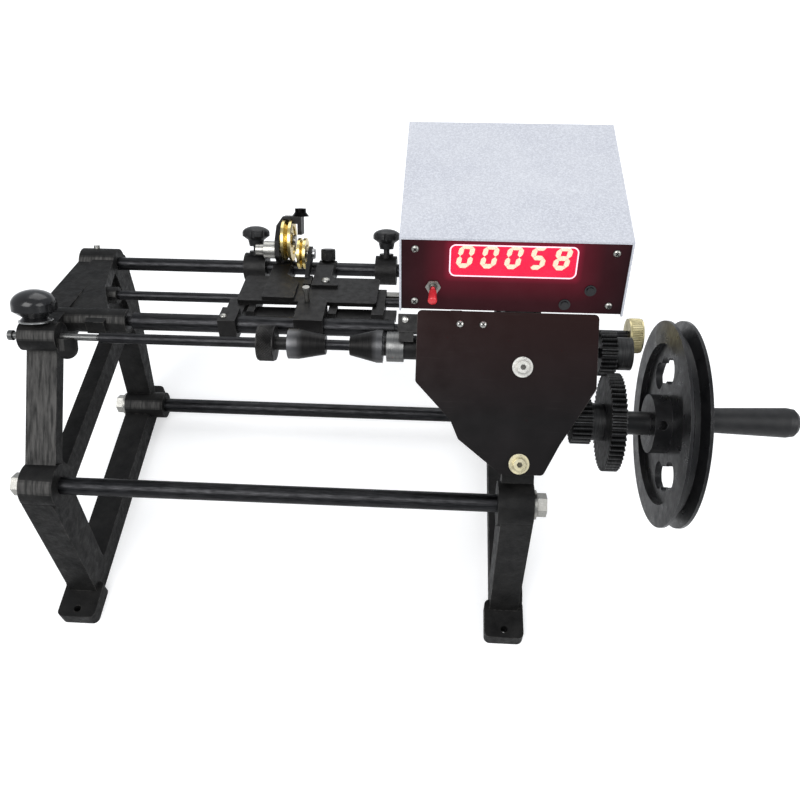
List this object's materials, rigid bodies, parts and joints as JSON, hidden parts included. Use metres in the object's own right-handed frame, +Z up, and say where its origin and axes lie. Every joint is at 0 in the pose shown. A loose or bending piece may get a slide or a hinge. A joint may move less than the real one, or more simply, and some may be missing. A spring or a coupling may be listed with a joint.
{
  "type": "wire coil winding machine",
  "caption": "Hand-cranked bench coil winder: cast end frames, geared winding spindle, traversing wire guide on rails, handwheel and electronic turn counter box.",
  "frame": {"origin": "on the floor, in the middle of the four foot holes", "axes": "+X right along the spindle towards the handwheel, +Y to the back, +Z up"},
  "size_m": [0.655, 0.344, 0.3546],
  "materials": {
    "casting": "black enamel",
    "dark_steel": "oiled black oxide",
    "black_steel": "black oxide",
    "gear_steel": "machined",
    "bright_steel": "ground",
    "zinc": "zinc plated",
    "brass": "turned",
    "grey_shell": "speckled light grey",
    "panel": "satin dark maroon",
    "red_window": "clear red",
    "digits": "matt",
    "board": "satin",
    "black_plastic": "gloss",
    "red_sleeve": "gloss"
  },
  "bodies": {
    "frame": {"left_frame": "casting", "right_frame": "casting", "tie_rods": "dark_steel", "tie_bolts": "zinc", "guide_rail": "dark_steel", "guide_rod": "dark_steel", "shaft_bushes": "dark_steel", "frame_screws": "zinc", "box_bracket": "black_steel", "headstock_plate": "black_steel", "plate_screws": "zinc", "turn_sensor": "black_steel", "counter_cover": "grey_shell", "counter_base": "grey_shell", "cover_screws": "zinc", "front_panel": "panel", "display_window": "red_window", "display_module": "digits", "circuit_board": "board", "panel_screws": "zinc", "power_inlet": "black_plastic", "toggle_switch": "zinc", "button_bodies": "black_plastic"},
    "spindle": {"spindle_shaft": "dark_steel", "spindle_gear": "gear_steel", "spindle_pinion": "gear_steel", "spindle_hub": "black_steel", "steel_collar": "bright_steel", "right_cone": "black_steel"},
    "left_cone": {"left_cone": "black_steel"},
    "clamp_nut": {"clamp_nut": "black_steel"},
    "tail_pin": {"tail_pin": "bright_steel"},
    "tail_knob": {"tail_knob": "black_plastic"},
    "crank": {"crank_shaft": "dark_steel", "compound_gear": "gear_steel", "handwheel": "casting", "handle_pin": "bright_steel"},
    "grip": {"handle_grip": "black_plastic"},
    "traverse": {"traverse_shaft": "dark_steel", "traverse_gear": "gear_steel", "brass_nut": "brass"},
    "carriage": {"saddle_plate": "black_steel", "rail_blocks": "black_steel", "follower_box": "black_steel", "carriage_fork": "black_steel", "guide_arm": "black_steel", "pulley_bracket": "black_steel", "arm_screws": "dark_steel", "carriage_screws": "zinc"},
    "large_pulley": {"large_pulley": "brass"},
    "small_pulley": {"small_pulley": "brass"},
    "block_thumbscrew": {"block_thumbscrew": "black_steel"},
    "tension_screw": {"tension_screw": "bright_steel"},
    "left_stop": {"left_stop": "black_steel"},
    "left_stop_knob": {"left_stop_knob": "black_plastic"},
    "right_stop": {"right_stop": "black_steel"},
    "right_stop_knob": {"right_stop_knob": "black_plastic"},
    "toggle": {"toggle_lever": "red_sleeve"},
    "reset_button": {"reset_button": "black_plastic"},
    "pause_button": {"pause_button": "black_plastic"}
  },
  "joints": [
    {"name": "crank_spin", "type": "hinge", "parent": "frame", "child": "crank", "pos_m": [0.25, -0.03331, 0.2164], "axis": [1, 0, 0], "continuous": true},
    {"name": "spindle_spin", "type": "hinge", "parent": "frame", "child": "spindle", "pos_m": [0.2, 0.0115, 0.254], "axis": [1, 0, 0], "continuous": true},
    {"name": "traverse_spin", "type": "hinge", "parent": "frame", "child": "traverse", "pos_m": [0.2, 0.04345, 0.24237], "axis": [1, 0, 0], "continuous": true},
    {"name": "grip_spin", "type": "hinge", "parent": "crank", "child": "grip", "pos_m": [0.38, -0.06708, 0.26839], "axis": [1, 0, 0], "continuous": true},
    {"name": "left_cone_slide", "type": "slide", "parent": "spindle", "child": "left_cone", "axis": [1, 0, 0], "range_m": [-0.1, 0.02]},
    {"name": "clamp_nut_turn", "type": "hinge", "parent": "left_cone", "child": "clamp_nut", "pos_m": [-0.008, 0.0115, 0.254], "axis": [1, 0, 0], "continuous": true},
    {"name": "tail_pin_slide", "type": "slide", "parent": "frame", "child": "tail_pin", "axis": [1, 0, 0], "range_m": [-0.025, 0]},
    {"name": "tail_knob_turn", "type": "hinge", "parent": "frame", "child": "tail_knob", "pos_m": [-0.213, 0.0115, 0.254], "axis": [0, 0.5736, 0.8192], "range_deg": [0, 360]},
    {"name": "carriage_slide", "type": "slide", "parent": "frame", "child": "carriage", "axis": [1, 0, 0], "range_m": [-0.0095, 0.0395]},
    {"name": "large_pulley_spin", "type": "hinge", "parent": "carriage", "child": "large_pulley", "pos_m": [-0.012, 0.15851, 0.24331], "axis": [1, 0, 0], "continuous": true},
    {"name": "small_pulley_spin", "type": "hinge", "parent": "carriage", "child": "small_pulley", "pos_m": [0.003, 0.1463, 0.23721], "axis": [1, 0, 0], "continuous": true},
    {"name": "block_thumbscrew_turn", "type": "hinge", "parent": "carriage", "child": "block_thumbscrew", "pos_m": [0.0255, 0.15851, 0.225], "axis": [0, 0.5736, 0.8192], "range_deg": [0, 360]},
    {"name": "tension_screw_turn", "type": "hinge", "parent": "carriage", "child": "tension_screw", "pos_m": [-0.03, 0.14937, 0.23811], "axis": [-1, 0, 0], "range_deg": [0, 360]},
    {"name": "left_stop_slide", "type": "slide", "parent": "frame", "child": "left_stop", "axis": [1, 0, 0], "range_m": [-0.1, 0]},
    {"name": "left_stop_knob_turn", "type": "hinge", "parent": "left_stop", "child": "left_stop_knob", "pos_m": [-0.0475, 0.16195, 0.22992], "axis": [0, 0.5736, 0.8192], "range_deg": [0, 360]},
    {"name": "right_stop_slide", "type": "slide", "parent": "frame", "child": "right_stop", "axis": [1, 0, 0], "range_m": [0, 0.07]},
    {"name": "right_stop_knob_turn", "type": "hinge", "parent": "right_stop", "child": "right_stop_knob", "pos_m": [0.0845, 0.16195, 0.22992], "axis": [0, 0.5736, 0.8192], "range_deg": [0, 360]},
    {"name": "toggle_tilt", "type": "hinge", "parent": "frame", "child": "toggle", "pos_m": [0.1344, 0.02048, 0.31585], "axis": [-1, 0, 0], "range_deg": [0, 26]},
    {"name": "reset_press", "type": "slide", "parent": "frame", "child": "reset_button", "axis": [0, 0.9527, -0.304], "range_m": [0, 0.0015], "stiffness_N_per_m": 400, "springref_m": -0.001},
    {"name": "pause_press", "type": "slide", "parent": "frame", "child": "pause_button", "axis": [0, 0.9527, -0.304], "range_m": [0, 0.0015], "stiffness_N_per_m": 400, "springref_m": -0.001}
  ],
  "couplings": [
    {"joint": "spindle_spin", "follows": "crank_spin", "ratio": -2.25},
    {"joint": "traverse_spin", "follows": "crank_spin", "ratio": 2.25}
  ]
}
